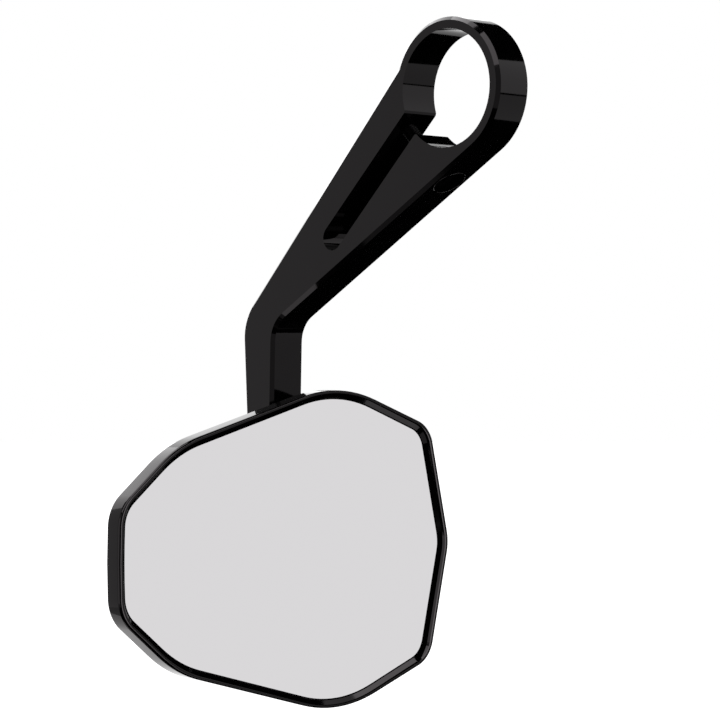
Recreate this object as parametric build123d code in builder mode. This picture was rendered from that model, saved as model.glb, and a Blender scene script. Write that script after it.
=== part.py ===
from build123d import *
import os
from math import asin, cos, degrees, radians, sin, sqrt, tan

# Bar end mirror: a split ring clamps on a round bar weight, a flat arm hangs the mirror
# head below it, and a ball joint behind the head lets the glass tilt and turn.
# The origin is the centre of the clamp's bore, +Y runs along the bore into the handlebar,
# +Z is up, and the glass faces +X. Sizes are in millimetres and degrees.

# Clamp ring and arm
BORE_RADIUS = 15.0
RING_WALL = 3.0
ARM_THICKNESS = 11.7
ARM_CHAMFER = 0.9
LOWER_WALL_ANGLE = 31.0
UPPER_WALL_ANGLE = 47.3
UPPER_WALL_OFFSET = 16.55
OUTER_ELBOW_RADIUS = 12.8
INNER_ELBOW_RADIUS = 8.2
LEG_INNER_X = -64.8
LEG_INNER_LEAN = 1.4
LEG_OUTER_LEAN = 2.9
LEG_WIDTH = 7.8
FOOT_REACH = 7.5
FOOT_ROUND = 3.4

# Slot that lets the ring close
SLOT_ANGLE = 45.0
SLOT_WIDTH = 6.66
SLOT_OFFSET = 3.06
SLOT_REACH = 54.5
SLOT_EDGE_BREAK = 0.4

# Clamp screw across the slot, with a cap head sunk in the lower wall
CLAMP_SCREW_REACH = 19.4
CLAMP_SCREW_RADIUS = 2.0
CLAMP_SCREW_LENGTH = 20.0
CLAMP_HEAD_RADIUS = 3.5
CLAMP_HEAD_HEIGHT = 4.0
CLAMP_HEAD_SINK = 2.2
CLAMP_KEY_ACROSS = 3.0
CLAMP_KEY_DEPTH = 2.2
COUNTERBORE_RADIUS = 4.25
CLAMP_HOLE_CLEARANCE = 0.25
CLAMP_TAP_RUNOUT = 1.0
THREAD_FIT = 0.03

# Visible face of the glass: corners of its upper half, and the radii that round them
HEAD_Z = -118.5
GLASS_FRONT_X = -47.0
GLASS_LEFT_Y = -70.9
GLASS_LEFT_HEIGHT = 12.5
GLASS_LEFT_BOW = 0.4
GLASS_LEFT_ROUND = 8.0
GLASS_SHOULDER_Y = -53.3
GLASS_SHOULDER_HEIGHT = 26.6
GLASS_SHOULDER_ROUND = 34.0
GLASS_PEAK_Y = 2.3
GLASS_PEAK_HEIGHT = 41.65
GLASS_PEAK_ROUND = 41.0
GLASS_CORNER_Y = 34.05
GLASS_CORNER_HEIGHT = 30.0
GLASS_CORNER_ROUND = 6.5
GLASS_RIGHT_Y = 41.15
GLASS_RIGHT_ROUND = 11.0
SMALLEST_ROUND = 0.5

# Glass and the adhesive pad behind it
GLASS_THICKNESS = 2.0
GLASS_SEAM = 0.2
PAD_THICKNESS = 0.8
PAD_INSET = 1.5

# Housing with a rim that stands proud of the glass
GLASS_CLEARANCE = 0.1
RIM_WIDTH = 2.1
RIM_END_WIDTH = 2.85
RIM_PROUD = 1.6
RIM_BEVEL = 1.4
RIM_CHAMFER = 0.55
WALL_DEPTH = 2.95
BACK_DEPTH = 4.05
BACK_INSET = 7.0
BOSS_RADIUS = 11.7
SOCKET_FLOOR = 1.6

# Ball stud in the leg
BALL_RADIUS = 5.0
BALL_FLAT_ANGLE = 35.0
NECK_RADIUS = 2.2
COLLAR_RADIUS = 4.3
COLLAR_THICKNESS = 1.8
COLLAR_ACROSS_FLATS = 7.0
SHANK_RADIUS = 2.5
SHANK_LENGTH = 6.0
SHANK_FIT = 0.02
SPOT_FACE_DEPTH = 0.3
SPOT_FACE_MARGIN = 0.3

# Seats that hold the ball
BALL_FIT = 0.08
SEAT_FIT = 0.05
FRONT_SEAT_WALL = 1.1
FRONT_SEAT_ANGLE = 45.0
REAR_SEAT_WALL = 0.9
REAR_SEAT_ANGLE = 28.0
REAR_SEAT_START = 105.0
REAR_SEAT_END = 131.0

# Set screw that locks the stud, from the foot of the leg
SET_SCREW_RADIUS = 1.5
SET_SCREW_SINK = 0.4
SET_SCREW_KEY_ACROSS = 1.5
SET_SCREW_KEY_DEPTH = 1.5

# Retainer ring and its low cap screws
RETAINER_SPLIT = 0.9
RETAINER_THICKNESS = 2.6
RETAINER_FLANGE = 1.1
RETAINER_HUB_RADIUS = 6.7
RETAINER_SEAT_ANGLE = 25.0
RETAINER_SCREW_COUNT = 3
RETAINER_SCREW_START = 90.0
RETAINER_SCREW_CIRCLE = 8.9
RETAINER_SCREW_RADIUS = 1.25
RETAINER_SCREW_LENGTH = 5.0
RETAINER_HEAD_RADIUS = 2.0
RETAINER_HEAD_HEIGHT = 1.4
RETAINER_HOLE_CLEARANCE = 0.15
RETAINER_KEY_ACROSS = 2.0
RETAINER_KEY_DEPTH = 0.8
RETAINER_TAP_RUNOUT = 0.4

# Places worked out from the sizes above
ring_radius = BORE_RADIUS + RING_WALL
glass_edge = GLASS_SEAM
pocket_edge = glass_edge + GLASS_CLEARANCE
rim_edge = pocket_edge + RIM_WIDTH
rim_stretch = RIM_END_WIDTH - RIM_WIDTH
rim_front_x = GLASS_FRONT_X + RIM_PROUD
glass_back_x = GLASS_FRONT_X - GLASS_THICKNESS
pad_back_x = glass_back_x - PAD_THICKNESS
wall_back_x = GLASS_FRONT_X - WALL_DEPTH
housing_back_x = wall_back_x - BACK_DEPTH
socket_floor_x = pad_back_x - SOCKET_FLOOR
ball_x = socket_floor_x - FRONT_SEAT_WALL - BALL_FIT - BALL_RADIUS
ball_centre = (ball_x, 0, HEAD_Z)
stud_axis = Axis(ball_centre, (1, 0, 0))
ball_section = Plane(origin=ball_centre, x_dir=(1, 0, 0), z_dir=(0, -1, 0))
boss_back_x = ball_x - RETAINER_SPLIT
retainer_seat_x = boss_back_x - RETAINER_FLANGE
retainer_tip_x = retainer_seat_x + RETAINER_SCREW_LENGTH
spot_face_x = LEG_INNER_X - SPOT_FACE_DEPTH
front_seat_radius = BALL_RADIUS + BALL_FIT + FRONT_SEAT_WALL
rear_seat_radius = BALL_RADIUS + BALL_FIT + REAR_SEAT_WALL

os.makedirs("parts", exist_ok=True)


def meet(a, a_angle, b, b_angle):
    """Where the line through a at a_angle crosses the line through b at b_angle, in x and z."""
    ax, az = cos(radians(a_angle)), sin(radians(a_angle))
    bx, bz = cos(radians(b_angle)), sin(radians(b_angle))
    reach = ((b[0] - a[0]) * bz - (b[1] - a[1]) * bx) / (ax * bz - az * bx)
    return (a[0] + reach * ax, a[1] + reach * az)


def along_slot(reach, side):
    """Point at a distance down the slot from the bore and to its lower side, in x and z."""
    level, rise = cos(radians(SLOT_ANGLE)), sin(radians(SLOT_ANGLE))
    return (side * rise - reach * level, -side * level - reach * rise)


def across_slot(side):
    """Plane square to the clamp screw, at a distance to the lower side of the slot."""
    x, z = along_slot(CLAMP_SCREW_REACH, side)
    return Plane(origin=(x, 0, z), x_dir=(0, 1, 0), z_dir=screw_axis.direction)


def facing_front(x):
    """Plane across the head at x with the ball's axis as its centre: local x is +Y, local y is +Z."""
    return Plane(origin=(x, 0, HEAD_Z), x_dir=(0, 1, 0), z_dir=(1, 0, 0))


def facing_back(x):
    """The same plane seen from behind."""
    return Plane(origin=(x, 0, HEAD_Z), x_dir=(0, -1, 0), z_dir=(-1, 0, 0))


def head_outline(grow, stretch=0.0):
    """Outline of the visible glass, grown on all sides and lengthened at both ends, in the open sketch."""
    upper = [
        (GLASS_LEFT_Y - stretch, GLASS_LEFT_HEIGHT, GLASS_LEFT_ROUND),
        (GLASS_SHOULDER_Y - stretch, GLASS_SHOULDER_HEIGHT, GLASS_SHOULDER_ROUND),
        (GLASS_PEAK_Y, GLASS_PEAK_HEIGHT, GLASS_PEAK_ROUND),
        (GLASS_CORNER_Y + stretch, GLASS_CORNER_HEIGHT, GLASS_CORNER_ROUND),
    ]
    lower = [(y, -height, radius) for y, height, radius in reversed(upper)]
    corners = upper + [(GLASS_RIGHT_Y + stretch, 0, GLASS_RIGHT_ROUND)] + lower
    with BuildLine() as border:
        sides = Polyline(*[(y, height) for y, height, radius in corners])
        SagittaArc(sides @ 1, sides @ 0, GLASS_LEFT_BOW)
    make_face(border.edges())
    if grow:
        offset(amount=grow, kind=Kind.INTERSECTION)
    for y, height, radius in corners:
        fillet(vertices().sort_by_distance((y, height))[0], max(radius + grow, SMALLEST_ROUND))


def retainer_screw_places():
    """Even ring of the retainer's screws about the ball's axis."""
    return PolarLocations(RETAINER_SCREW_CIRCLE, RETAINER_SCREW_COUNT, RETAINER_SCREW_START)


def retainer_hole(behind):
    """Radius of the retainer's conical hole at a distance behind the ball's centre."""
    cone_tip = (rear_seat_radius + SEAT_FIT) / sin(radians(RETAINER_SEAT_ANGLE))
    return (cone_tip - behind) * tan(radians(RETAINER_SEAT_ANGLE))


# Corners of the arm in x and z
lower_start = (
    ring_radius * sin(radians(LOWER_WALL_ANGLE)),
    -ring_radius * cos(radians(LOWER_WALL_ANGLE)),
)
upper_start = (
    -UPPER_WALL_OFFSET * sin(radians(UPPER_WALL_ANGLE)),
    UPPER_WALL_OFFSET * cos(radians(UPPER_WALL_ANGLE)),
)
leg_inner = (LEG_INNER_X, HEAD_Z)
leg_outer = (LEG_INNER_X - LEG_WIDTH, HEAD_Z)
leg_foot = (LEG_INNER_X, HEAD_Z - FOOT_REACH)
outer_elbow = meet(upper_start, UPPER_WALL_ANGLE, leg_outer, 90 + LEG_OUTER_LEAN)
inner_elbow = meet(lower_start, LOWER_WALL_ANGLE, leg_inner, 90 - LEG_INNER_LEAN)
foot_outer = meet(leg_outer, 90 + LEG_OUTER_LEAN, leg_foot, 0)
foot_inner = meet(leg_inner, 90 - LEG_INNER_LEAN, leg_foot, 0)
bends = [
    (outer_elbow, OUTER_ELBOW_RADIUS),
    (inner_elbow, INNER_ELBOW_RADIUS),
    (foot_outer, FOOT_ROUND),
    (foot_inner, FOOT_ROUND),
]

# Walls of the slot and places along the clamp screw, measured to the slot's lower side
screw_axis = Axis((0, 0, 0), (sin(radians(SLOT_ANGLE)), 0, -cos(radians(SLOT_ANGLE))))
slot_lower = SLOT_WIDTH / 2 - SLOT_OFFSET
slot_upper = -SLOT_WIDTH / 2 - SLOT_OFFSET
wall_turn = radians(SLOT_ANGLE - LOWER_WALL_ANGLE)
lower_wall = (ring_radius - CLAMP_SCREW_REACH * sin(wall_turn)) / cos(wall_turn)
screw_seat = lower_wall - CLAMP_HEAD_SINK - CLAMP_HEAD_HEIGHT
screw_tip = screw_seat - CLAMP_SCREW_LENGTH
mouth_places = [along_slot(sqrt(BORE_RADIUS ** 2 - side ** 2), side) for side in (slot_lower, slot_upper)]
mouth_corners = [(x, 0, z) for x, z in mouth_places]

# Set screw below the middle of the stud's shank
set_screw_x = spot_face_x - SHANK_LENGTH / 2
set_screw_top = HEAD_Z - SHANK_RADIUS
set_screw_length = FOOT_REACH - SHANK_RADIUS - SET_SCREW_SINK

# Clamp arm: ring, arm and leg machined from one flat plate
with BuildPart() as clamp_arm:
    with BuildSketch(Plane.XZ):
        Polygon(
            lower_start, (0, 0), upper_start, outer_elbow, foot_outer, foot_inner, inner_elbow,
            align=None,
        )
        Circle(ring_radius)
        for corner, radius in bends:
            fillet(vertices().sort_by_distance(corner)[0], radius)
        Circle(BORE_RADIUS, mode=Mode.SUBTRACT)
        with Locations(along_slot(SLOT_REACH / 2, -SLOT_OFFSET)):
            SlotCenterToCenter(SLOT_REACH, SLOT_WIDTH, rotation=SLOT_ANGLE, mode=Mode.SUBTRACT)
    extrude(amount=ARM_THICKNESS / 2, both=True)
    mouth = [edges().filter_by(Axis.Y).sort_by_distance(corner)[0] for corner in mouth_corners]
    chamfer(mouth, SLOT_EDGE_BREAK)
    chamfer([face.outer_wire().edges() for face in faces().filter_by(Axis.Y)], ARM_CHAMFER)
    # Counterbore, clearance hole and tapped hole of the clamp screw
    with BuildSketch(across_slot(screw_seat)):
        Circle(COUNTERBORE_RADIUS)
    extrude(amount=ring_radius, mode=Mode.SUBTRACT)
    with BuildSketch(across_slot(screw_seat)):
        Circle(CLAMP_SCREW_RADIUS + CLAMP_HOLE_CLEARANCE)
    extrude(amount=slot_lower - screw_seat, mode=Mode.SUBTRACT)
    with BuildSketch(across_slot(slot_upper)):
        Circle(CLAMP_SCREW_RADIUS)
    extrude(amount=screw_tip - CLAMP_TAP_RUNOUT - slot_upper, mode=Mode.SUBTRACT)
    # Flat seat and hole of the ball stud, and the tapped hole of its set screw
    with BuildSketch(facing_front(spot_face_x)):
        Circle(COLLAR_RADIUS + SPOT_FACE_MARGIN)
    extrude(amount=LEG_WIDTH, mode=Mode.SUBTRACT)
    with BuildSketch(facing_front(spot_face_x)):
        Circle(SHANK_RADIUS + SHANK_FIT)
    extrude(amount=-SHANK_LENGTH, mode=Mode.SUBTRACT)
    with BuildSketch(Plane.XY.offset(HEAD_Z)):
        with Locations((set_screw_x, 0)):
            Circle(SET_SCREW_RADIUS)
    extrude(amount=-FOOT_REACH, mode=Mode.SUBTRACT)
clamp_arm.part.label = "clamp_arm"
export_step(clamp_arm.part, "parts/clamp_arm.step")

# Clamp screw: cap head with a hexagon socket
with BuildPart() as clamp_screw:
    with BuildSketch(across_slot(screw_seat)):
        Circle(CLAMP_HEAD_RADIUS)
    extrude(amount=CLAMP_HEAD_HEIGHT)
    with BuildSketch(across_slot(screw_seat)):
        Circle(CLAMP_SCREW_RADIUS - THREAD_FIT)
    extrude(amount=-CLAMP_SCREW_LENGTH)
    with BuildSketch(across_slot(screw_seat + CLAMP_HEAD_HEIGHT)):
        RegularPolygon(CLAMP_KEY_ACROSS / 2, 6, major_radius=False)
    extrude(amount=-CLAMP_KEY_DEPTH, mode=Mode.SUBTRACT)
clamp_screw.part.label = "clamp_screw"
export_step(clamp_screw.part, "parts/clamp_screw.step")

# Ball stud: ball with a flat front, neck, a collar with two spanner flats, and a plain shank
with BuildPart() as ball_stud:
    with BuildSketch(ball_section):
        with BuildLine():
            neck_angle = 180 - degrees(asin(NECK_RADIUS / BALL_RADIUS))
            ball = CenterArc((0, 0), BALL_RADIUS, BALL_FLAT_ANGLE, neck_angle - BALL_FLAT_ANGLE)
            Polyline(ball @ 1, ((ball @ 1).X, 0), ((ball @ 0).X, 0), ball @ 0)
        make_face()
    revolve(axis=stud_axis)
    with BuildSketch(facing_front(spot_face_x)):
        Circle(NECK_RADIUS)
    extrude(amount=ball_x + (ball @ 1).X - spot_face_x)
    with BuildSketch(facing_front(spot_face_x)):
        Circle(COLLAR_RADIUS)
        Rectangle(2 * COLLAR_RADIUS, COLLAR_ACROSS_FLATS, mode=Mode.INTERSECT)
    extrude(amount=COLLAR_THICKNESS)
    with BuildSketch(facing_front(spot_face_x)):
        Circle(SHANK_RADIUS)
    extrude(amount=-SHANK_LENGTH)
ball_stud.part.label = "ball_stud"
export_step(ball_stud.part, "parts/ball_stud.step")

# Set screw in the foot of the leg, with a hexagon socket at its lower end
with BuildPart() as stud_set_screw:
    with BuildSketch(Plane.XY.offset(set_screw_top)):
        with Locations((set_screw_x, 0)):
            Circle(SET_SCREW_RADIUS - THREAD_FIT)
    extrude(amount=-set_screw_length)
    with BuildSketch(Plane.XY.offset(set_screw_top - set_screw_length)):
        with Locations((set_screw_x, 0)):
            RegularPolygon(SET_SCREW_KEY_ACROSS / 2, 6, major_radius=False)
    extrude(amount=SET_SCREW_KEY_DEPTH, mode=Mode.SUBTRACT)
stud_set_screw.part.label = "stud_set_screw"
export_step(stud_set_screw.part, "parts/stud_set_screw.step")

# Mirror glass with seamed edges
with BuildPart() as mirror_glass:
    with BuildSketch(facing_front(glass_back_x)):
        head_outline(glass_edge)
    extrude(amount=GLASS_THICKNESS)
    chamfer(faces().sort_by(Axis.X)[-1].edges(), GLASS_SEAM)
mirror_glass.part.label = "mirror_glass"
export_step(mirror_glass.part, "parts/mirror_glass.step")

# Adhesive pad between the glass and the housing
with BuildPart() as glass_adhesive_pad:
    with BuildSketch(facing_front(pad_back_x)):
        head_outline(-PAD_INSET)
    extrude(amount=PAD_THICKNESS)
glass_adhesive_pad.part.label = "glass_adhesive_pad"
export_step(glass_adhesive_pad.part, "parts/glass_adhesive_pad.step")

# Mirror housing: side wall and rim, tapered back, socket boss and the pocket for the glass
with BuildPart() as mirror_housing:
    with BuildSketch(facing_front(wall_back_x)):
        head_outline(rim_edge, rim_stretch)
    extrude(amount=rim_front_x - wall_back_x)
    chamfer(faces().sort_by(Axis.X)[-1].edges(), RIM_CHAMFER)
    with BuildSketch(facing_front(wall_back_x)):
        head_outline(rim_edge, rim_stretch)
    with BuildSketch(facing_front(housing_back_x)):
        head_outline(rim_edge - BACK_INSET, rim_stretch)
    loft(ruled=True)
    with BuildSketch(facing_front(wall_back_x)):
        Circle(BOSS_RADIUS)
    extrude(amount=boss_back_x - wall_back_x)
    # Pocket for the glass and pad, and the bevel that leads down to the glass
    with BuildSketch(facing_front(pad_back_x)):
        head_outline(pocket_edge)
    extrude(amount=rim_front_x - pad_back_x, mode=Mode.SUBTRACT)
    with BuildSketch(facing_front(GLASS_FRONT_X)):
        head_outline(pocket_edge)
    with BuildSketch(facing_front(rim_front_x)):
        head_outline(pocket_edge + RIM_BEVEL)
    loft(ruled=True, mode=Mode.SUBTRACT)
    # Socket for the ball and its seats, and tapped holes for the retainer's screws
    with BuildSketch(facing_front(socket_floor_x)):
        Circle(front_seat_radius + SEAT_FIT)
    extrude(amount=boss_back_x - socket_floor_x, mode=Mode.SUBTRACT)
    with BuildSketch(facing_back(boss_back_x)):
        with retainer_screw_places():
            Circle(RETAINER_SCREW_RADIUS)
    extrude(amount=boss_back_x - retainer_tip_x - RETAINER_TAP_RUNOUT, mode=Mode.SUBTRACT)
mirror_housing.part.label = "mirror_housing"
export_step(mirror_housing.part, "parts/mirror_housing.step")

# Front ball seat: a plastic ring in the socket, with the edge of its bore on the ball
front_contact = BALL_RADIUS + BALL_FIT
front_seat_back_x = ball_x + front_contact * cos(radians(FRONT_SEAT_ANGLE))
with BuildPart() as front_ball_seat:
    with BuildSketch(facing_front(front_seat_back_x)):
        Circle(front_seat_radius)
        Circle(front_contact * sin(radians(FRONT_SEAT_ANGLE)), mode=Mode.SUBTRACT)
    extrude(amount=socket_floor_x - front_seat_back_x)
front_ball_seat.part.label = "front_ball_seat"
export_step(front_ball_seat.part, "parts/front_ball_seat.step")

# Rear ball seat: a plastic ring with a conical face on the ball and a spherical back
rear_cone_tip = (BALL_RADIUS + BALL_FIT) / sin(radians(REAR_SEAT_ANGLE))
with BuildPart() as rear_ball_seat:
    with BuildSketch(ball_section):
        with BuildLine():
            back = CenterArc((0, 0), rear_seat_radius, REAR_SEAT_START, REAR_SEAT_END - REAR_SEAT_START)
            cone_radii = [(rear_cone_tip + (back @ end).X) * tan(radians(REAR_SEAT_ANGLE)) for end in (1, 0)]
            Polyline(back @ 1, ((back @ 1).X, cone_radii[0]), ((back @ 0).X, cone_radii[1]), back @ 0)
        make_face()
    revolve(axis=stud_axis)
rear_ball_seat.part.label = "rear_ball_seat"
export_step(rear_ball_seat.part, "parts/rear_ball_seat.step")

# Retainer: a flanged ring on the boss that holds the rear seat on the ball
with BuildPart() as ball_retainer:
    with BuildSketch(facing_back(boss_back_x)):
        Circle(BOSS_RADIUS)
        with retainer_screw_places():
            Circle(RETAINER_SCREW_RADIUS + RETAINER_HOLE_CLEARANCE, mode=Mode.SUBTRACT)
    extrude(amount=RETAINER_FLANGE)
    with BuildSketch(facing_back(boss_back_x)):
        Circle(RETAINER_HUB_RADIUS)
    extrude(amount=RETAINER_THICKNESS)
    with Locations(facing_back(boss_back_x)):
        Cone(
            retainer_hole(RETAINER_SPLIT), retainer_hole(RETAINER_SPLIT + RETAINER_THICKNESS),
            RETAINER_THICKNESS, align=(Align.CENTER, Align.CENTER, Align.MIN), mode=Mode.SUBTRACT,
        )
ball_retainer.part.label = "ball_retainer"
export_step(ball_retainer.part, "parts/ball_retainer.step")

# Retainer screws with low cap heads and hexagon sockets
with BuildPart() as retainer_screws:
    with BuildSketch(facing_back(retainer_seat_x)):
        with retainer_screw_places():
            Circle(RETAINER_SCREW_RADIUS - THREAD_FIT)
    extrude(amount=-RETAINER_SCREW_LENGTH)
    with BuildSketch(facing_back(retainer_seat_x)):
        with retainer_screw_places():
            Circle(RETAINER_HEAD_RADIUS)
    extrude(amount=RETAINER_HEAD_HEIGHT)
    with BuildSketch(facing_back(retainer_seat_x - RETAINER_HEAD_HEIGHT)):
        with retainer_screw_places():
            RegularPolygon(RETAINER_KEY_ACROSS / 2, 6, major_radius=False)
    extrude(amount=-RETAINER_KEY_DEPTH, mode=Mode.SUBTRACT)
retainer_screws.part.label = "retainer_screws"
export_step(retainer_screws.part, "parts/retainer_screws.step")
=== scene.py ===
import math
import bpy
import bmesh
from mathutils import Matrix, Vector


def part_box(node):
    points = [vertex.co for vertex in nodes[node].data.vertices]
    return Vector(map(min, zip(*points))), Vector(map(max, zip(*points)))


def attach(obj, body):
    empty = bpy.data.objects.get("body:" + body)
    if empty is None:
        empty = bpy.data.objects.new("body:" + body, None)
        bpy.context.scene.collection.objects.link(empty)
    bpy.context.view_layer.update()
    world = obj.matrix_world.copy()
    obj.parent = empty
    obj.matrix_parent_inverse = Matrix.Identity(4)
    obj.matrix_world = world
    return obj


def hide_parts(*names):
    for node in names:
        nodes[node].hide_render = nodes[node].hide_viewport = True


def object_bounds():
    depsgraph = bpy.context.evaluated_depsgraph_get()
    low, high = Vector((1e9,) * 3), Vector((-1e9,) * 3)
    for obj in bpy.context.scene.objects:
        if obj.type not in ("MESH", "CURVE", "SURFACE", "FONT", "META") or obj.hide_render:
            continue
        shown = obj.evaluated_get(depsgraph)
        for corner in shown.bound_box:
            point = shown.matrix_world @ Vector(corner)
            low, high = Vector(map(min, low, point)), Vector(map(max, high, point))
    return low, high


# Looks of a bar end mirror: gloss black clamp arm and head, a silvered glass, and a small studio.
# Lengths are in metres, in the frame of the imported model, and those that end in _MM are in millimetres.

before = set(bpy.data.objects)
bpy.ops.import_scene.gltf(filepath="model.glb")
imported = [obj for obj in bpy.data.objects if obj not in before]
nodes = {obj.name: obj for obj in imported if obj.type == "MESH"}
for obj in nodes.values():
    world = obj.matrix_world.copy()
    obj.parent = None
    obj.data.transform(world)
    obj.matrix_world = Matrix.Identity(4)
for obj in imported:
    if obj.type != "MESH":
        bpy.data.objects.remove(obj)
cad_low, cad_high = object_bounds()
scene = bpy.context.scene
scene.view_settings.view_transform = "Standard"

MM = 0.001
FORWARD = Vector((1, 0, 0))
SIDEWAYS = Vector((0, 1, 0))
UP = Vector((0, 0, 1))

# Places read from the frame
glass_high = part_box("mirror_glass")[1]
pad_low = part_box("glass_adhesive_pad")[0]
housing_low, housing_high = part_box("mirror_housing")
retainer_low, retainer_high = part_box("ball_retainer")
seat_low, seat_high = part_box("front_ball_seat")
ball_axis = (seat_low + seat_high) / 2
head_centre = (housing_low + housing_high) / 2
object_centre = (cad_low + cad_high) / 2
ring_centre = Vector((0.0, 0.0, 0.0))


# Materials

# Part of a noise that is spread over the whole range of a finish
NOISE_LOW = 0.3
NOISE_HIGH = 0.7

# Colours; a finish that varies has a dark and a light one
BLACK = (0.0005, 0.0005, 0.0005)
BLACK_DARK = (0.0003, 0.00025, 0.0003)
BLACK_LIGHT = (0.0008, 0.0007, 0.0008)
BLACK_GLOSS_TINT = (1.0, 0.92, 0.96)
SILVER = (0.95, 0.935, 0.95)
GLASS_EDGE = (0.01, 0.014, 0.012)
STEEL = (0.58, 0.57, 0.55)
STEEL_SHADE = 0.75
ACETAL = (0.62, 0.60, 0.55)
ACETAL_DARK = (0.56, 0.54, 0.49)
ACETAL_LIGHT = (0.64, 0.62, 0.57)
FOAM = (0.02, 0.02, 0.02)
FOAM_DARK = (0.012, 0.012, 0.012)
FOAM_LIGHT = (0.035, 0.035, 0.035)
WHITE = (1.0, 1.0, 1.0)

# Specular level of the black finishes, and of the oiled one on the clamp screw
BLACK_SPECULAR = 0.17
OILED_SPECULAR = 0.02

# Roughness from the smoothest to the roughest spot
GLOSS_BLACK_ROUGHNESS = (0.05, 0.08)
BLACK_STEEL_ROUGHNESS = (0.3, 0.42)
STEEL_ROUGHNESS = (0.16, 0.28)
MIRROR_ROUGHNESS = (0.0, 0.012)
ACETAL_ROUGHNESS = (0.35, 0.5)
FOAM_ROUGHNESS = 0.9

# Depth of the fine relief
ARM_GRAIN = 0.0005 * MM
HEAD_GRAIN = 0.0004 * MM
STEEL_GRAIN = 0.004 * MM
ACETAL_GRAIN = 0.006 * MM
FOAM_GRAIN = 0.05 * MM

# Forward part of the glass's normal where the ground edge ends and where the silver begins
EDGE_FACING = 0.9
SILVER_FACING = 0.99


def material(name, colour, roughness, metallic=0.0, specular=0.5):
    """New node material; returns it with its tree and its shader."""
    made = bpy.data.materials.new(name)
    made.use_nodes = True
    shader = made.node_tree.nodes["Principled BSDF"]
    shader.inputs["Base Color"].default_value = (*colour, 1.0)
    shader.inputs["Roughness"].default_value = roughness
    shader.inputs["Metallic"].default_value = metallic
    shader.inputs["Specular IOR Level"].default_value = specular
    return made, made.node_tree, shader


def object_noise(tree, per_mm, detail=2.0):
    """Noise fixed to the piece, with about per_mm features in each millimetre."""
    place = tree.nodes.new("ShaderNodeTexCoord")
    noise = tree.nodes.new("ShaderNodeTexNoise")
    noise.inputs["Scale"].default_value = per_mm / MM
    noise.inputs["Detail"].default_value = detail
    tree.links.new(place.outputs["Object"], noise.inputs["Vector"])
    return noise.outputs["Fac"]


def spread(tree, factor, limits, socket):
    """Sends a noise to a number socket, spread between two values."""
    ramp = tree.nodes.new("ShaderNodeMapRange")
    ramp.inputs["From Min"].default_value = NOISE_LOW
    ramp.inputs["From Max"].default_value = NOISE_HIGH
    ramp.inputs["To Min"].default_value = limits[0]
    ramp.inputs["To Max"].default_value = limits[1]
    tree.links.new(factor, ramp.inputs["Value"])
    tree.links.new(ramp.outputs["Result"], socket)


def tint(tree, factor, dark, light, socket):
    """Sends a factor to a colour socket, spread between two colours."""
    ramp = tree.nodes.new("ShaderNodeValToRGB")
    ramp.color_ramp.elements[0].position = NOISE_LOW
    ramp.color_ramp.elements[0].color = (*dark, 1.0)
    ramp.color_ramp.elements[1].position = NOISE_HIGH
    ramp.color_ramp.elements[1].color = (*light, 1.0)
    tree.links.new(factor, ramp.inputs["Fac"])
    tree.links.new(ramp.outputs["Color"], socket)


def relief(tree, factor, depth, shader):
    """Fine bump of a depth in metres on the shader's normal."""
    bump = tree.nodes.new("ShaderNodeBump")
    bump.inputs["Distance"].default_value = depth
    tree.links.new(factor, bump.inputs["Height"])
    tree.links.new(bump.outputs["Normal"], shader.inputs["Normal"])


def black_finish(name, roughness, grain, specular=BLACK_SPECULAR):
    """Black over machined metal, with a faint grain."""
    made, tree, shader = material(name, BLACK, roughness[0], specular=specular)
    shader.inputs["Specular Tint"].default_value = (*BLACK_GLOSS_TINT, 1.0)
    tint(tree, object_noise(tree, per_mm=0.15), BLACK_DARK, BLACK_LIGHT, shader.inputs["Base Color"])
    spread(tree, object_noise(tree, per_mm=0.4, detail=3.0), roughness, shader.inputs["Roughness"])
    relief(tree, object_noise(tree, per_mm=6.0), grain, shader)
    return made


def mirror_finish():
    """Silvered glass: a clean mirror on the face and dark ground glass on the edge."""
    made, tree, shader = material("mirror_glass_silver", SILVER, MIRROR_ROUGHNESS[0], metallic=1.0)
    place = tree.nodes.new("ShaderNodeTexCoord")
    split = tree.nodes.new("ShaderNodeSeparateXYZ")
    tree.links.new(place.outputs["Normal"], split.inputs["Vector"])
    facing = tree.nodes.new("ShaderNodeMapRange")
    facing.inputs["From Min"].default_value = EDGE_FACING
    facing.inputs["From Max"].default_value = SILVER_FACING
    tree.links.new(split.outputs["X"], facing.inputs["Value"])
    tint(tree, facing.outputs["Result"], GLASS_EDGE, SILVER, shader.inputs["Base Color"])
    spread(tree, object_noise(tree, per_mm=0.05), MIRROR_ROUGHNESS, shader.inputs["Roughness"])
    return made


def steel_finish():
    """Turned steel with fine lathe marks."""
    made, tree, shader = material("turned_steel", STEEL, STEEL_ROUGHNESS[0], metallic=1.0)
    darker = tuple(STEEL_SHADE * value for value in STEEL)
    tint(tree, object_noise(tree, per_mm=1.5, detail=3.0), darker, STEEL, shader.inputs["Base Color"])
    spread(tree, object_noise(tree, per_mm=2.0, detail=3.0), STEEL_ROUGHNESS, shader.inputs["Roughness"])
    relief(tree, object_noise(tree, per_mm=5.0), STEEL_GRAIN, shader)
    return made


def plastic_finish():
    """Moulded seat plastic."""
    made, tree, shader = material("seat_acetal", ACETAL, ACETAL_ROUGHNESS[0])
    tint(tree, object_noise(tree, per_mm=0.6), ACETAL_DARK, ACETAL_LIGHT, shader.inputs["Base Color"])
    spread(tree, object_noise(tree, per_mm=1.5), ACETAL_ROUGHNESS, shader.inputs["Roughness"])
    relief(tree, object_noise(tree, per_mm=4.0), ACETAL_GRAIN, shader)
    return made


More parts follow.
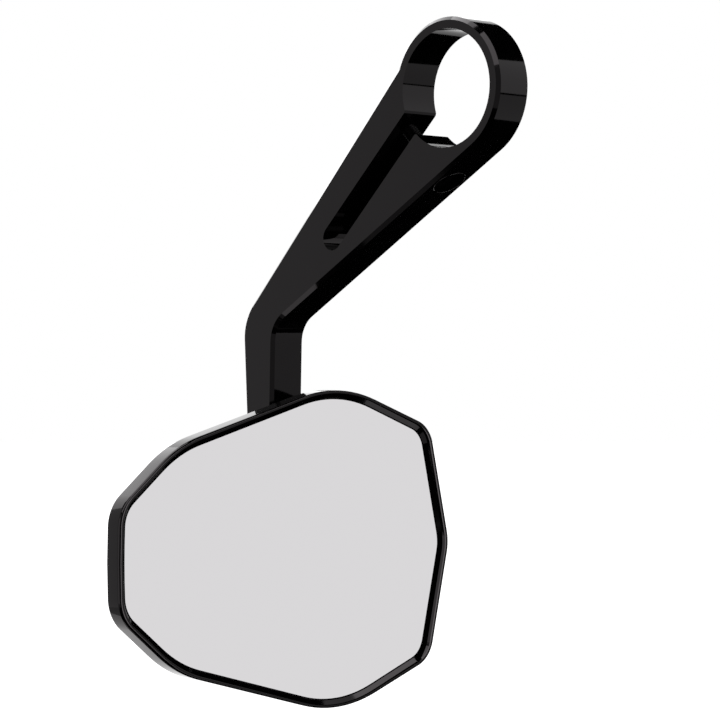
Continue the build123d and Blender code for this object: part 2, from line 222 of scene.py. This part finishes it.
def foam_finish():
    """Dark cellular foam of the adhesive pad."""
    made, tree, shader = material("pad_foam", FOAM, FOAM_ROUGHNESS)
    cells = object_noise(tree, per_mm=2.0, detail=4.0)
    tint(tree, cells, FOAM_DARK, FOAM_LIGHT, shader.inputs["Base Color"])
    relief(tree, object_noise(tree, per_mm=3.0, detail=4.0), FOAM_GRAIN, shader)
    return made


arm_black = black_finish("arm_black", GLOSS_BLACK_ROUGHNESS, ARM_GRAIN)
head_black = black_finish("head_black", GLOSS_BLACK_ROUGHNESS, HEAD_GRAIN)
silver = mirror_finish()
black_steel = black_finish("black_oxide_steel", BLACK_STEEL_ROUGHNESS, STEEL_GRAIN)
dull_steel = black_finish("oiled_black_steel", BLACK_STEEL_ROUGHNESS, STEEL_GRAIN, OILED_SPECULAR)
bright_steel = steel_finish()
acetal = plastic_finish()
foam = foam_finish()

finishes = {
    "clamp_arm": arm_black,
    "clamp_screw": black_steel,
    "ball_stud": bright_steel,
    "stud_set_screw": black_steel,
    "mirror_glass": silver,
    "glass_adhesive_pad": foam,
    "mirror_housing": head_black,
    "front_ball_seat": acetal,
    "rear_ball_seat": acetal,
    "ball_retainer": head_black,
    "retainer_screws": black_steel,
}
for node, finish in finishes.items():
    nodes[node].material_slots[0].material = finish


# Shapes

SHARP_ANGLE = math.radians(28)


def lofted(name, loops, finish, body):
    """Closed piece through loops with equal numbers of points, capped at both ends."""
    made = bmesh.new()
    rings = [[made.verts.new(point) for point in loop] for loop in loops]
    for near, far in zip(rings, rings[1:]):
        for index in range(len(near)):
            after = (index + 1) % len(near)
            made.faces.new((near[index], near[after], far[after], far[index]))
    made.faces.new(rings[0])
    made.faces.new(rings[-1])
    bmesh.ops.recalc_face_normals(made, faces=made.faces)
    mesh = bpy.data.meshes.new(name)
    made.to_mesh(mesh)
    made.free()
    mesh.shade_smooth()
    mesh.set_sharp_from_angle(angle=SHARP_ANGLE)
    mesh.materials.append(finish)
    piece = bpy.data.objects.new(name, mesh)
    scene.collection.objects.link(piece)
    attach(piece, body)
    return piece


# Mirror housing with a bevelled rim

# Corners of the visible glass about the ball's axis, from the middle of the left side over the top
# to the right tip: y, height and rounding
GLASS_CORNERS_MM = [
    (-71.5, 0.0, 180.0),
    (-70.9, 12.5, 8.0),
    (-53.3, 26.6, 34.0),
    (2.3, 41.65, 41.0),
    (34.05, 30.0, 6.5),
    (41.12, 0.0, 11.0),
]
SHOULDER, PEAK, CORNER = [GLASS_CORNERS_MM[index][0] * MM for index in (2, 3, 4)]
GLASS_GAP = 0.4 * MM
BEVEL_EDGE = 1.54 * MM
BEVEL_RISE = 0.66 * MM
LAND_EDGE = 1.64 * MM
LAND_RISE = 1.08 * MM
LAND_WIDTH = 0.32 * MM
LAND_TILT = math.radians(12)
CREST_DROP = 0.4 * MM
RIM_EDGE = 2.4 * MM
RIM_STRETCH = 0.75 * MM
WALL_DEPTH = 2.95 * MM
BACK_DEPTH = 4.05 * MM
BACK_INSET = 7.0 * MM
SOCKET_GAP = 0.05 * MM
CREST_STEPS = 12
ARC_STEP = math.radians(3)
RUN_STEP = 2.0 * MM


def glass_outline():
    """Points round the visible glass about the ball's axis, each with the direction that leads outward."""
    lower = [(y, -height, rounding) for y, height, rounding in reversed(GLASS_CORNERS_MM[1:-1])]
    corners = GLASS_CORNERS_MM + lower
    places = [Vector((y, height)) * MM for y, height, rounding in corners]
    outward = []
    for index, place in enumerate(places):
        side = (places[(index + 1) % len(places)] - place).normalized()
        outward.append(Vector((-side.y, side.x)))
    samples = []
    for index, (y, height, rounding) in enumerate(corners):
        before, after = outward[index - 1], outward[index]
        radius = rounding * MM
        centre = places[index] - radius * (before + after) / (1 + before.dot(after))
        start = math.atan2(before.y, before.x)
        turn = before.angle(after)
        steps = max(2, round(turn / ARC_STEP))
        for step in range(steps + 1):
            angle = start - turn * step / steps
            normal = Vector((math.cos(angle), math.sin(angle)))
            samples.append((centre + radius * normal, normal))
    filled = []
    for index, (point, normal) in enumerate(samples):
        following = samples[(index + 1) % len(samples)][0]
        runs = max(1, round((following - point).length / RUN_STEP))
        filled += [(point.lerp(following, run / runs), normal) for run in range(runs)]
    return filled


def toward_end(y):
    """How near a place is to an end of the head: -1 at the left, 0 at the peak and 1 at the right."""
    if y < PEAK:
        return max(-1.0, (y - PEAK) / (PEAK - SHOULDER))
    return min(1.0, (y - PEAK) / (CORNER - PEAK))


def rim_section():
    """Front of the rim, outward from the glass and forward of it: bevel, step, land and round edge."""
    round_start = LAND_EDGE + LAND_WIDTH
    rim_top = LAND_RISE + LAND_WIDTH * math.tan(LAND_TILT)
    section = [(GLASS_GAP, 0.0), (BEVEL_EDGE, BEVEL_RISE), (LAND_EDGE, LAND_RISE)]
    for index in range(CREST_STEPS + 1):
        angle = math.pi / 2 * (1 - index / CREST_STEPS)
        across = round_start + (RIM_EDGE - round_start) * math.cos(angle)
        section.append((across, rim_top - CREST_DROP * (1 - math.sin(angle))))
    return section


def housing():
    """Shell with a bevelled rim, tapered back and the boss that holds the ball's seats."""
    outline = glass_outline()
    rim_proud = housing_high.x - glass_high.x
    section = rim_section()
    rim_top = max(forward for grow, forward in section)
    end_growth = (rim_proud - BEVEL_RISE) / (rim_top - BEVEL_RISE) - 1

    def loop(grow, forward, stretch):
        """Points round the head, with a share of the rim's stretch toward both ends."""
        points = []
        for point, normal in outline:
            end = toward_end(point.x)
            place = point + grow * normal
            lift = end_growth * abs(end) * max(0.0, forward - BEVEL_RISE)
            shift = RIM_STRETCH * stretch * end
            points.append((
                glass_high.x + forward + lift, ball_axis.y + place.x + shift, ball_axis.z + place.y,
            ))
        return points

    loops = [loop(GLASS_GAP, pad_low.x - glass_high.x, 0.0)]
    for grow, forward in section:
        loops.append(loop(grow, forward, max(0.0, (grow - BEVEL_EDGE) / (RIM_EDGE - BEVEL_EDGE))))
    loops.append(loop(RIM_EDGE, -WALL_DEPTH, 1.0))
    loops.append(loop(RIM_EDGE - BACK_INSET, -WALL_DEPTH - BACK_DEPTH, 1.0))
    back_x = glass_high.x - WALL_DEPTH - BACK_DEPTH
    boss_radius = (retainer_high.y - retainer_low.y) / 2
    socket_radius = (seat_high.y - seat_low.y) / 2 + SOCKET_GAP
    round_sections = [
        (boss_radius, back_x),
        (boss_radius, retainer_high.x),
        (socket_radius, retainer_high.x),
        (socket_radius, seat_high.x),
    ]
    for radius, x in round_sections:
        around = [radius * point.normalized() for point, normal in outline]
        loops.append([(x, ball_axis.y + place.x, ball_axis.z + place.y) for place in around])
    shell = lofted("housing_shell", loops, head_black, "head")
    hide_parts("mirror_housing")


# Clamp screw with a knurled head and a cut thread

THREAD_PITCH = 0.7 * MM
THREAD_DEPTH = 0.4 * MM
THREAD_RINGS = 8
THREAD_POINTS = 48
SHANK_RADIUS = 1.97 * MM
HEAD_HEIGHT = 4.0 * MM
HEAD_BREAK = 0.4 * MM
KNURL_TEETH = 36
KNURL_DEPTH = 0.12 * MM
KNURL_POINTS = 4
KEY_ACROSS = 3.0 * MM
KEY_DEPTH = 2.2 * MM
KEY_HALF_SIDE = math.pi / 6


def screw_places():
    """Directions along and across the clamp screw, and where its points lie on both."""
    axis = (FORWARD - UP).normalized()
    across = (FORWARD + UP).normalized()
    points = [vertex.co for vertex in nodes["clamp_screw"].data.vertices]
    return axis, across, [point.dot(axis) for point in points], [point.dot(across) for point in points]


def clamp_screw():
    """Cap head and threaded shank, on the axis of the screw in the frame."""
    axis, across, along, beside = screw_places()
    tip, top = min(along), max(along)
    head_radius = (max(beside) - min(beside)) / 2
    middle = across * (max(beside) + min(beside)) / 2

    def ring(place, count, radius_at):
        """Loop round the screw, with its radius worked out from the angle."""
        points = []
        for index in range(count):
            angle = 2 * math.pi * index / count
            spoke = math.cos(angle) * across + math.sin(angle) * SIDEWAYS
            points.append(middle + axis * place + radius_at(angle) * spoke)
        return points

    def knurl(angle):
        """Radius of the head's grip."""
        return head_radius - KNURL_DEPTH * (0.5 - 0.5 * math.cos(KNURL_TEETH * angle))

    def land(angle):
        """Radius inside the head's broken edges, the same all round."""
        return head_radius - HEAD_BREAK

    def key(angle):
        """Distance to the walls of the six-sided key hole."""
        off_middle = (angle + KEY_HALF_SIDE) % (2 * KEY_HALF_SIDE) - KEY_HALF_SIDE
        return KEY_ACROSS / 2 / math.cos(off_middle)

    def thread(place):
        """Gives the radius of the thread at a place along the shank, to be worked out from the angle."""
        lead_in = min(place - tip, THREAD_DEPTH)

        def radius(angle):
            phase = (place / THREAD_PITCH + angle / (2 * math.pi)) % 1.0
            crest = SHANK_RADIUS - THREAD_DEPTH * abs(2 * phase - 1)
            return min(crest, SHANK_RADIUS - THREAD_DEPTH + lead_in)

        return radius

    count = KNURL_TEETH * KNURL_POINTS
    seat = top - HEAD_HEIGHT
    head_loops = [
        ring(seat, count, land),
        ring(seat + HEAD_BREAK / 2, count, knurl),
        ring(top - HEAD_BREAK, count, knurl),
        ring(top, count, land),
        ring(top, count, key),
        ring(top - KEY_DEPTH, count, key),
    ]
    head = lofted("screw_head", head_loops, dull_steel, "arm")
    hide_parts("clamp_screw")

    ring_count = round((seat - tip) / THREAD_PITCH * THREAD_RINGS)
    shank_loops = []
    for step in range(ring_count + 1):
        place = tip + (seat - tip) * step / ring_count
        shank_loops.append(ring(place, THREAD_POINTS, thread(place)))
    lofted("screw_shank", shank_loops, dull_steel, "arm")


# Lip of the clamp screw's counterbore

LIP_RADIUS = 4.25 * MM
LIP_ROUND = 0.09 * MM
LIP_POINTS = 8
LIP_STEPS = 96
HEAD_SINK = 2.2 * MM
LOWER_WALL = math.radians(31)


def counterbore_lip():
    """Fine rounded lip where the counterbore of the clamp screw breaks through the lower wall."""
    axis, across, along, beside = screw_places()
    middle = axis * (max(along) + HEAD_SINK) + across * (max(beside) + min(beside)) / 2
    wall = Vector((math.sin(LOWER_WALL), 0, -math.cos(LOWER_WALL)))
    turns = [2 * math.pi * index / LIP_POINTS for index in range(LIP_POINTS)]
    loops = []
    for step in range(LIP_STEPS + 1):
        angle = 2 * math.pi * step / LIP_STEPS
        spoke = math.cos(angle) * across + math.sin(angle) * SIDEWAYS
        place = middle + LIP_RADIUS * spoke
        place -= axis * (place - middle).dot(wall) / axis.dot(wall)
        around = [math.cos(turn) * spoke + math.sin(turn) * axis for turn in turns]
        loops.append([place + LIP_ROUND * direction for direction in around])
    lofted("counterbore_lip", loops, arm_black, "arm")


housing()
clamp_screw()
counterbore_lip()


# Studio

FLOOR_DROP = 1.0
FLOOR_RADIUS = 30.0
FLOOR_FADE = 7.0
FLOOR = (0.8, 0.8, 0.8)
FLOOR_DARK = (0.78, 0.78, 0.78)
FLOOR_LIGHT = (0.82, 0.82, 0.82)
FLOOR_NEAR_GLOW = (0.15, 0.15, 0.15)
FLOOR_ROUGHNESS = 0.9
CEILING_HEIGHT = 1.9
CEILING_RADIUS = 3.6
UNDER_CARD_HEIGHT = -0.95
UNDER_CARD_RADIUS = 2.1
UNDER_CARD_SHIFT = (0.94, 0.34)
DISC_POINTS = 96
PANEL_STEP = 4.0
SOFTBOX_HEIGHT = 1.8
SOFTBOX_SIZE = 1.0
SOFTBOX_GLOW = 4.5
SURROUND_LIGHT = 0.6
SURROUND_SEEN = 1.0

# Upright panels seen only in gloss: bearings in degrees from +X toward +Y, lowest and highest z,
# distance and glow
DARK = 0.0
NEAR = 0.58
FAR = 2.2
FULL_HEIGHT = (UNDER_CARD_HEIGHT, 1.6)
PANELS = {
    "right_upper": ((36.0, 65.0), (-0.046, 0.335), NEAR, 1.25),
    "right_corner": ((32.0, 49.0), (0.27, 0.42), 0.55, 5.0),
    "right_lower": ((36.0, 72.0), (-0.36, -0.065), NEAR, 0.73),
    "rear": ((74.0, 122.0), FULL_HEIGHT, FAR, DARK),
    "rear_pale": ((80.0, 100.0), (-0.65, 0.35), 2.0, 1.0),
    "rear_middle": ((122.0, 162.0), (0.0, 0.17), FAR, DARK),
    "left": ((-165.0, -98.0), FULL_HEIGHT, FAR, 1.04),
    "left_bright": ((-98.0, -58.0), (-0.6, 0.5), 1.6, 2.3),
    "front": ((-58.0, -30.0), FULL_HEIGHT, FAR, 0.56),
    "front_dark": ((-30.0, 8.0), FULL_HEIGHT, FAR, DARK),
    "front_pale": ((-7.0, 14.0), (-0.73, -0.27), 1.7, 0.73),
    "front_low": ((-12.0, 30.0), (-0.85, -0.42), 1.0, 0.9),
    "right_dark": ((8.0, 74.0), FULL_HEIGHT, 1.8, DARK),
}

# Flat bright sheets seen only in gloss, for the light lines on the edges and the light on the side walls:
# the centre that each is placed from, its place from there, the way it faces (None is toward that centre),
# the direction of its length, its length and width, and its glow
BRIGHT_SHEETS = {
    "rim_sheet_high": (head_centre, (-1.2, 1.02, 1.05), FORWARD, SIDEWAYS, (0.96, 1.5), 2.3),
    "rim_sheet_left": (head_centre, (-1.2, -0.1, 1.05), FORWARD, SIDEWAYS, (1.28, 1.5), 3.9),
    "rim_sheet_roof": (ring_centre, (-0.83, -0.3, 1.6), -UP, SIDEWAYS, (1.2, 0.75), 8.0),
    "rim_sheet_low": (head_centre, (-0.7, 0.22, -0.49), FORWARD, SIDEWAYS, (1.3, 0.62), 2.1),
    "top_sheet": (ring_centre, (0.675, -0.72, 0.9), -UP, SIDEWAYS, (1.44, 1.17), 4.5),
    "under_sheet": (ring_centre, (-0.195, -0.186, -0.51), UP, SIDEWAYS, (0.2, 0.16), 2.1),
    "under_sheet_weak": (ring_centre, (-0.085, -0.186, -0.51), UP, SIDEWAYS, (0.2, 0.06), 0.35),
    "low_sheet": (head_centre, (0.54, 0.37, -0.62), None, FORWARD - SIDEWAYS, (0.26, 0.4), 2.0),
    "side_sheet": (head_centre, (0.946, 0.326, 0.0), None, UP, (0.8, 0.58), 7.0),
}


def staged(name, made):
    """Studio sheet from a mesh under construction; not part of the object."""
    mesh = bpy.data.meshes.new(name)
    made.to_mesh(mesh)
    made.free()
    sheet = bpy.data.objects.new(name, mesh)
    scene.collection.objects.link(sheet)
    return sheet


def disc(name, radius, height, shift=(0.0, 0.0)):
    """Flat round sheet at a height, about the object's axis or shifted from it."""
    made = bmesh.new()
    bmesh.ops.create_circle(made, cap_ends=True, segments=DISC_POINTS, radius=radius)
    middle = (object_centre.x + shift[0], object_centre.y + shift[1], height)
    bmesh.ops.translate(made, verts=made.verts, vec=middle)
    return staged(name, made)


def panel(name, bearings, heights, distance):
    """Upright sheet bent round the object between two bearings."""
    made = bmesh.new()
    start, end = bearings
    steps = round((end - start) / PANEL_STEP)
    columns = []
    for step in range(steps + 1):
        bearing = math.radians(start + (end - start) * step / steps)
        foot = distance * Vector((math.cos(bearing), math.sin(bearing), 0.0))
        columns.append([made.verts.new(foot + Vector((0.0, 0.0, height))) for height in heights])
    for near, far in zip(columns, columns[1:]):
        made.faces.new((near[0], far[0], far[1], near[1]))
    return staged(name, made)


def flat_sheet(name, centre, offset, facing, along, size):
    """Flat sheet at an offset from a centre, which faces one way with its length laid along another."""
    length, width = size
    place = centre + Vector(offset)
    back = (place - centre if facing is None else -facing).normalized()
    level = (along - along.dot(back) * back).normalized()
    side = back.cross(level)
    made = bmesh.new()
    corners = []
    for right, up in ((-1, -1), (1, -1), (1, 1), (-1, 1)):
        corners.append(made.verts.new(place + right * length / 2 * level + up * width / 2 * side))
    made.faces.new(corners)
    return staged(name, made)


def gloss_only(sheet, glow):
    """Gives a sheet an even glow, or none, that shows only in gloss."""
    made, tree, shader = material(sheet.name, (0.0, 0.0, 0.0), roughness=1.0, specular=0.0)
    shader.inputs["Emission Color"].default_value = (*WHITE, 1.0)
    shader.inputs["Emission Strength"].default_value = glow
    sheet.data.materials.append(made)
    sheet.visible_camera = False
    sheet.visible_diffuse = False
    sheet.visible_shadow = False
    sheet.visible_transmission = False


def softbox():
    """Square lamp over the object that lights it at a plain level."""
    lamp = bpy.data.lights.new("softbox", "AREA")
    lamp.shape = "SQUARE"
    lamp.size = SOFTBOX_SIZE
    lamp.energy = SOFTBOX_GLOW * math.pi * SOFTBOX_SIZE ** 2
    box = bpy.data.objects.new("softbox", lamp)
    box.location = (object_centre.x, object_centre.y, SOFTBOX_HEIGHT)
    box.visible_camera = False
    scene.collection.objects.link(box)


def seen_rays(tree):
    """Socket that is 1 for rays by which a background is seen: straight, in gloss or through glass."""
    rays = tree.nodes.new("ShaderNodeLightPath")
    straight_or_gloss = tree.nodes.new("ShaderNodeMath")
    straight_or_gloss.operation = "MAXIMUM"
    tree.links.new(rays.outputs["Is Camera Ray"], straight_or_gloss.inputs[0])
    tree.links.new(rays.outputs["Is Glossy Ray"], straight_or_gloss.inputs[1])
    any_seen = tree.nodes.new("ShaderNodeMath")
    any_seen.operation = "MAXIMUM"
    tree.links.new(straight_or_gloss.outputs[0], any_seen.inputs[0])
    tree.links.new(rays.outputs["Is Transmission Ray"], any_seen.inputs[1])
    return any_seen.outputs[0]


def surround():
    """White all round for the camera and for gloss, and softer as a light."""
    world = bpy.data.worlds.new("white_surround")
    scene.world = world
    world.use_nodes = True
    tree = world.node_tree
    tree.nodes.clear()
    lit = tree.nodes.new("ShaderNodeBackground")
    lit.inputs["Color"].default_value = (*WHITE, 1.0)
    lit.inputs["Strength"].default_value = SURROUND_LIGHT
    white = tree.nodes.new("ShaderNodeBackground")
    white.inputs["Color"].default_value = (*WHITE, 1.0)
    white.inputs["Strength"].default_value = SURROUND_SEEN
    either = tree.nodes.new("ShaderNodeMixShader")
    tree.links.new(seen_rays(tree), either.inputs["Fac"])
    tree.links.new(lit.outputs["Background"], either.inputs[1])
    tree.links.new(white.outputs["Background"], either.inputs[2])
    out = tree.nodes.new("ShaderNodeOutputWorld")
    tree.links.new(either.outputs["Shader"], out.inputs["Surface"])


def pale_floor():
    """Pale floor that fades to the white of the surround far from the object."""
    floor = disc("floor", FLOOR_RADIUS, -FLOOR_DROP)
    pale, tree, shader = material("floor_pale", FLOOR, FLOOR_ROUGHNESS, specular=0.0)
    tint(tree, object_noise(tree, per_mm=0.004), FLOOR_DARK, FLOOR_LIGHT, shader.inputs["Base Color"])
    place = tree.nodes.new("ShaderNodeTexCoord")
    mapping = tree.nodes.new("ShaderNodeMapping")
    mapping.inputs["Location"].default_value = (0.0, 0.0, FLOOR_DROP / FLOOR_FADE)
    mapping.inputs["Scale"].default_value = (1 / FLOOR_FADE, 1 / FLOOR_FADE, 1 / FLOOR_FADE)
    nearness = tree.nodes.new("ShaderNodeTexGradient")
    nearness.gradient_type = "SPHERICAL"
    tree.links.new(place.outputs["Object"], mapping.inputs["Vector"])
    tree.links.new(mapping.outputs["Vector"], nearness.inputs["Vector"])
    tint(tree, nearness.outputs["Fac"], WHITE, FLOOR_NEAR_GLOW, shader.inputs["Emission Color"])
    tree.links.new(seen_rays(tree), shader.inputs["Emission Strength"])
    floor.data.materials.append(pale)


def studio():
    """Pale floor, dark and bright sheets round the object, a lamp and a white surround."""
    pale_floor()
    gloss_only(disc("ceiling_card", CEILING_RADIUS, CEILING_HEIGHT), DARK)
    gloss_only(disc("under_card", UNDER_CARD_RADIUS, UNDER_CARD_HEIGHT, UNDER_CARD_SHIFT), DARK)
    for name, (bearings, heights, distance, glow) in PANELS.items():
        gloss_only(panel(name + "_panel", bearings, heights, distance), glow)
    for name, (centre, offset, facing, along, size, glow) in BRIGHT_SHEETS.items():
        gloss_only(flat_sheet(name, centre, offset, facing, along, size), glow)
    softbox()
    surround()


studio()


# Camera level with the middle of the arm, 45 degrees round from the bar's axis

CAMERA_PLACE = (0.46482, -0.50102, -0.06842)
CAMERA_TURN = (math.radians(90), 0.0, math.radians(45))
LENS_MM = 135.0
SENSOR_MM = 36.0

camera_data = bpy.data.cameras.new("camera")
camera_data.lens = LENS_MM
camera_data.sensor_width = SENSOR_MM
camera = bpy.data.objects.new("camera", camera_data)
camera.location = CAMERA_PLACE
camera.rotation_euler = CAMERA_TURN
scene.collection.objects.link(camera)
scene.camera = camera
